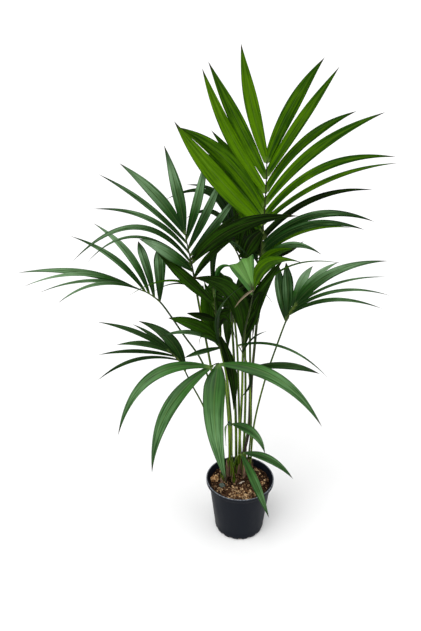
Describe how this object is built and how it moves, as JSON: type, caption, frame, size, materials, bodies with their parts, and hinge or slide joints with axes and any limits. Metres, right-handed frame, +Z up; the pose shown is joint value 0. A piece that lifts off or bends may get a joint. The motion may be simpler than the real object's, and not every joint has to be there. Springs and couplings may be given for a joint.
{
  "type": "potted palm",
  "caption": "Feather-leaved house palm with arching fronds, growing from several stems in a plain round nursery pot.",
  "frame": {"origin": "centre of the pot's base, on the surface it stands on", "axes": "+Z up along the pot's axis, -Y towards the viewer of the picture, +X to the right"},
  "size_m": [0.8599, 0.55, 1.31],
  "materials": {
    "pot": "matt, slightly scuffed on the rim",
    "soil": "rough, crumbly",
    "lump": "rough",
    "pebble": "rough",
    "twig": "dry",
    "sheath": "fibrous",
    "petiole": "smooth, waxy",
    "crown_leaf": "satin, ribbed lengthwise",
    "leaf": "satin, ribbed lengthwise"
  },
  "bodies": {
    "root": {"pot": "pot", "soil": "soil", "bark_lump": "lump", "grey_pebble": "pebble", "pale_twig": "twig", "small_lump": "lump", "left_sheath": "sheath", "front_sheath": "sheath", "young_sheath": "sheath", "middle_sheath": "sheath", "centre_sheath": "sheath", "right_sheath": "sheath", "back_sheath": "sheath", "crown_petiole": "petiole", "crown_frond": "crown_leaf", "upper_left_petiole": "petiole", "upper_left_frond": "leaf", "far_left_petiole": "petiole", "far_left_frond": "leaf", "lower_left_petiole": "petiole", "lower_left_frond": "leaf", "front_petiole": "petiole", "front_frond": "leaf", "inner_left_petiole": "petiole", "inner_left_frond": "leaf", "inner_middle_petiole": "petiole", "inner_middle_frond": "leaf", "inner_right_petiole": "petiole", "inner_right_frond": "leaf", "right_petiole": "petiole", "right_frond": "leaf", "low_right_petiole": "petiole", "low_right_frond": "leaf", "small_high_petiole": "petiole", "small_high_frond": "leaf", "small_low_petiole": "petiole", "small_low_frond": "leaf", "back_left_petiole": "petiole", "back_left_frond": "leaf", "back_right_petiole": "petiole", "back_right_frond": "leaf", "back_petiole": "petiole", "back_frond": "leaf"}
  },
  "joints": []
}
